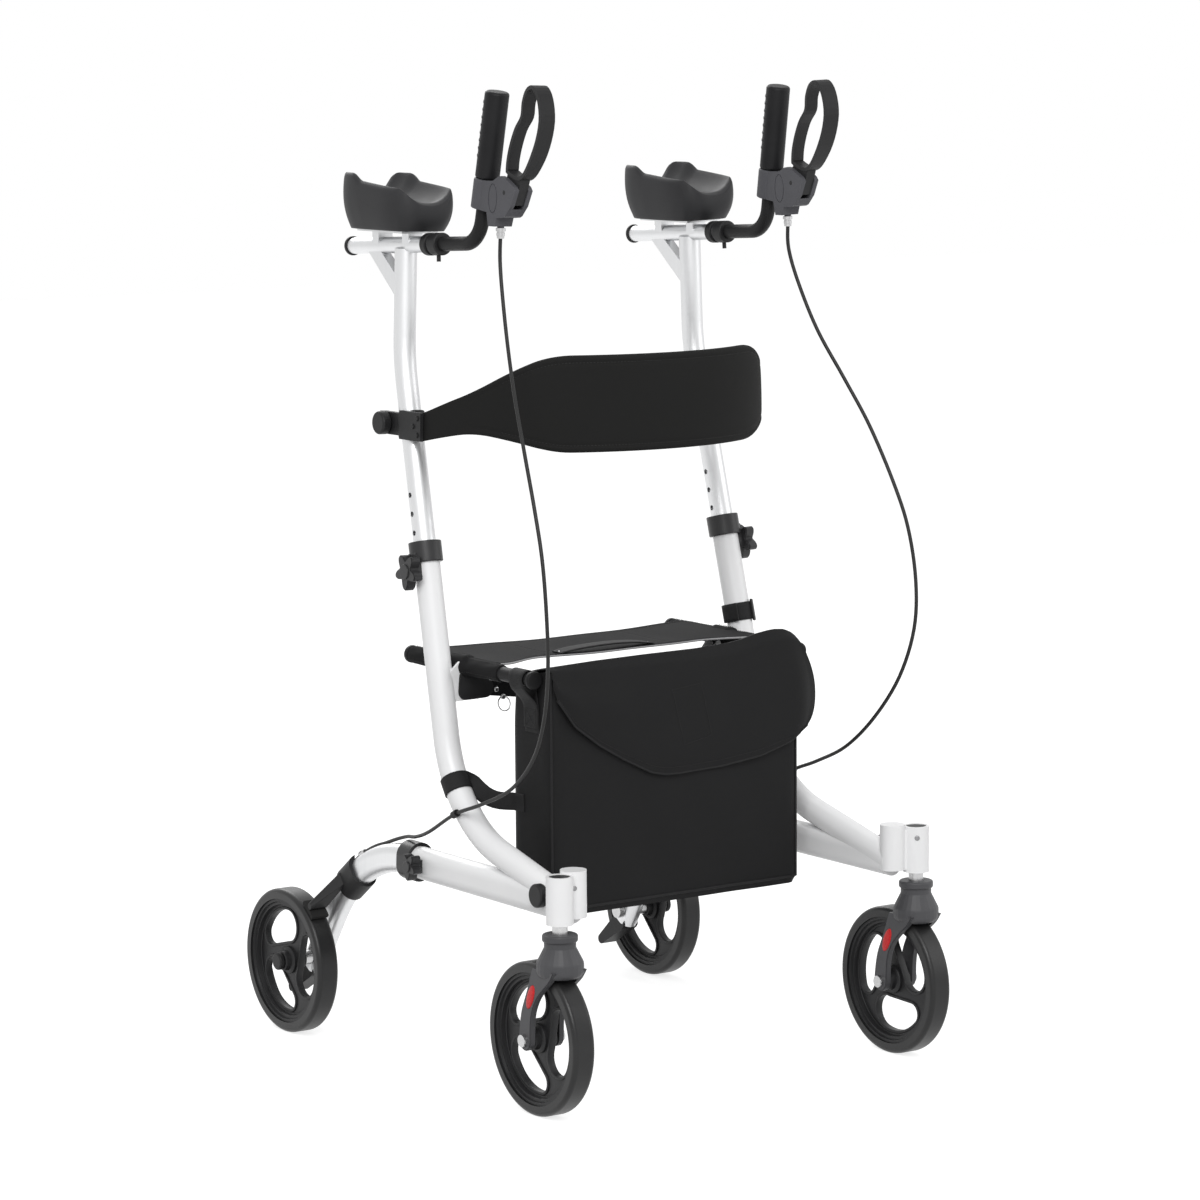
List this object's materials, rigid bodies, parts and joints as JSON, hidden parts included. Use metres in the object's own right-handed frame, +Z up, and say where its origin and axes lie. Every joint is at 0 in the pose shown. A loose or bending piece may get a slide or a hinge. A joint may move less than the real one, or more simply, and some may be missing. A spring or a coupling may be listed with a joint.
{
  "type": "upright walker",
  "caption": "Upright rolling walker with forearm troughs, loop hand brakes, caster front wheels, side-folding frame, sling seat, backrest band and storage bag.",
  "frame": {"origin": "on the floor, under the middle of the walker", "axes": "+Z up; the user walks towards -Y, so the casters are at -Y and the user's left is +X"},
  "size_m": [0.6626, 0.792, 1.3072],
  "materials": {
    "frame_white": "satin white powder coat",
    "tube_silver": "satin anodised",
    "steel": "zinc plated",
    "black_tube": "black powder coat",
    "black_plastic": "fine matte moulding",
    "charcoal_plastic": "matte moulding",
    "tyre": "smooth solid tyre",
    "shoe_rubber": "brake block",
    "grip_rubber": "soft ribbed grip",
    "pad_foam": "self-skinned foam",
    "cloth": "woven black cloth"
  },
  "bodies": {
    "left_frame": {"left_side_frame": "frame_white", "left_height_collar": "black_plastic", "left_leg_collar": "black_plastic", "left_rear_leg": "tube_silver", "left_seat_rail": "black_tube", "left_frame_plugs": "black_plastic", "left_tip_pedal": "black_plastic", "left_rear_axle": "steel", "left_brake_bracket": "black_plastic", "left_brake_cable": "black_plastic", "seat_sling": "cloth", "storage_bag": "cloth"},
    "left_link": {"left_brace_link": "black_tube", "knee_pin": "steel"},
    "right_link": {"right_brace_link": "black_tube"},
    "right_frame": {"right_side_frame": "frame_white", "right_height_collar": "black_plastic", "right_leg_collar": "black_plastic", "right_rear_leg": "tube_silver", "right_seat_rail": "black_tube", "right_frame_plugs": "black_plastic", "right_tip_pedal": "black_plastic", "right_rear_axle": "steel", "right_brake_bracket": "black_plastic", "right_brake_cable": "black_plastic"},
    "left_post": {"left_post": "tube_silver", "left_forearm_pad": "pad_foam", "left_bar_clamp": "black_plastic", "left_backrest_clamp": "black_plastic", "backrest_band": "cloth"},
    "left_handle": {"left_handle_bar": "black_tube", "left_grip": "grip_rubber", "left_brake_housing": "charcoal_plastic"},
    "left_lever": {"left_brake_lever": "black_plastic"},
    "left_shoe": {"left_brake_shoe": "shoe_rubber"},
    "left_caster": {"left_caster_fork": "black_plastic", "left_caster_bolts": "steel"},
    "left_front_wheel": {"left_front_tyre": "tyre", "left_front_hub": "black_plastic"},
    "left_rear_wheel": {"left_rear_tyre": "tyre", "left_rear_hub": "black_plastic"},
    "left_height_clamp": {"left_height_knob": "black_plastic"},
    "left_leg_clamp": {"left_leg_knob": "black_plastic"},
    "right_post": {"right_post": "tube_silver", "right_forearm_pad": "pad_foam", "right_bar_clamp": "black_plastic", "right_backrest_clamp": "black_plastic"},
    "right_handle": {"right_handle_bar": "black_tube", "right_grip": "grip_rubber", "right_brake_housing": "charcoal_plastic"},
    "right_lever": {"right_brake_lever": "black_plastic"},
    "right_shoe": {"right_brake_shoe": "shoe_rubber"},
    "right_caster": {"right_caster_fork": "black_plastic", "right_caster_bolts": "steel"},
    "right_front_wheel": {"right_front_tyre": "tyre", "right_front_hub": "black_plastic"},
    "right_rear_wheel": {"right_rear_tyre": "tyre", "right_rear_hub": "black_plastic"},
    "right_height_clamp": {"right_height_knob": "black_plastic"},
    "right_leg_clamp": {"right_leg_knob": "black_plastic"}
  },
  "joints": [
    {"name": "fold", "type": "hinge", "parent": "left_frame", "child": "left_link", "pos_m": [0.188, -0.006, 0.508], "axis": [0, 1, 0], "range_deg": [0, 78], "deforming": ["seat_sling", "storage_bag", "backrest_band"]},
    {"name": "knee", "type": "hinge", "parent": "left_link", "child": "right_link", "pos_m": [0, -0.006, 0.48158], "axis": [0, 1, 0], "range_deg": [-156, 0]},
    {"name": "right_fold", "type": "hinge", "parent": "right_link", "child": "right_frame", "pos_m": [-0.188, -0.006, 0.508], "axis": [0, 1, 0], "range_deg": [0, 78]},
    {"name": "left_height", "type": "slide", "parent": "left_frame", "child": "left_post", "axis": [-0.0311, 0.2317, 0.9723], "range_m": [-0.1016, 0.0508], "deforming": ["left_brake_cable"]},
    {"name": "left_reach", "type": "slide", "parent": "left_post", "child": "left_handle", "axis": [-0.0017, -0.9986, 0.0523], "range_m": [0, 0.04], "deforming": ["left_brake_cable"]},
    {"name": "left_squeeze", "type": "hinge", "parent": "left_handle", "child": "left_lever", "pos_m": [0.22931, -0.15949, 1.16986], "axis": [-0.9995, 0, -0.0319], "range_deg": [0, 12], "stiffness_Nm_per_rad": 4, "springref_deg": -5.73},
    {"name": "left_brake", "type": "slide", "parent": "left_frame", "child": "left_shoe", "axis": [0, 0.6293, -0.7771], "range_m": [0, 0.0015]},
    {"name": "left_swivel", "type": "hinge", "parent": "left_frame", "child": "left_caster", "pos_m": [0.288, -0.34, 0.255], "axis": [0, 0, 1], "continuous": true},
    {"name": "left_front_roll", "type": "hinge", "parent": "left_caster", "child": "left_front_wheel", "pos_m": [0.288, -0.296, 0.1], "axis": [1, 0, 0], "continuous": true},
    {"name": "left_rear_roll", "type": "hinge", "parent": "left_frame", "child": "left_rear_wheel", "pos_m": [0.306, 0.296, 0.1], "axis": [1, 0, 0], "continuous": true},
    {"name": "left_height_turn", "type": "hinge", "parent": "left_frame", "child": "left_height_clamp", "pos_m": [0.26544, 0.02835, 0.66555], "axis": [0.9995, 0, 0.0319], "continuous": true},
    {"name": "left_leg_turn", "type": "hinge", "parent": "left_frame", "child": "left_leg_clamp", "pos_m": [0.27799, 0.015, 0.27264], "axis": [0.9995, 0, 0.0319], "continuous": true},
    {"name": "right_height", "type": "slide", "parent": "right_frame", "child": "right_post", "axis": [0.0311, 0.2317, 0.9723], "range_m": [-0.1016, 0.0508], "deforming": ["right_brake_cable"]},
    {"name": "right_reach", "type": "slide", "parent": "right_post", "child": "right_handle", "axis": [0.0017, -0.9986, 0.0523], "range_m": [0, 0.04], "deforming": ["right_brake_cable"]},
    {"name": "right_squeeze", "type": "hinge", "parent": "right_handle", "child": "right_lever", "pos_m": [-0.22931, -0.15949, 1.16986], "axis": [-0.9995, 0, 0.0319], "range_deg": [0, 12], "stiffness_Nm_per_rad": 4, "springref_deg": -5.73},
    {"name": "right_brake", "type": "slide", "parent": "right_frame", "child": "right_shoe", "axis": [0, 0.6293, -0.7771], "range_m": [0, 0.0015]},
    {"name": "right_swivel", "type": "hinge", "parent": "right_frame", "child": "right_caster", "pos_m": [-0.288, -0.34, 0.255], "axis": [0, 0, 1], "continuous": true},
    {"name": "right_front_roll", "type": "hinge", "parent": "right_caster", "child": "right_front_wheel", "pos_m": [-0.288, -0.296, 0.1], "axis": [1, 0, 0], "continuous": true},
    {"name": "right_rear_roll", "type": "hinge", "parent": "right_frame", "child": "right_rear_wheel", "pos_m": [-0.306, 0.296, 0.1], "axis": [1, 0, 0], "continuous": true},
    {"name": "right_height_turn", "type": "hinge", "parent": "right_frame", "child": "right_height_clamp", "pos_m": [-0.26544, 0.02835, 0.66555], "axis": [-0.9995, 0, 0.0319], "continuous": true},
    {"name": "right_leg_turn", "type": "hinge", "parent": "right_frame", "child": "right_leg_clamp", "pos_m": [-0.27799, 0.015, 0.27264], "axis": [-0.9995, 0, 0.0319], "continuous": true}
  ],
  "couplings": [
    {"joint": "knee", "follows": "fold", "ratio": -2},
    {"joint": "right_fold", "follows": "fold", "ratio": 1},
    {"joint": "right_height", "follows": "left_height", "ratio": 1},
    {"joint": "left_brake", "follows": "left_squeeze", "m_per_rad": 0.007155},
    {"joint": "right_brake", "follows": "right_squeeze", "m_per_rad": 0.007155}
  ]
}
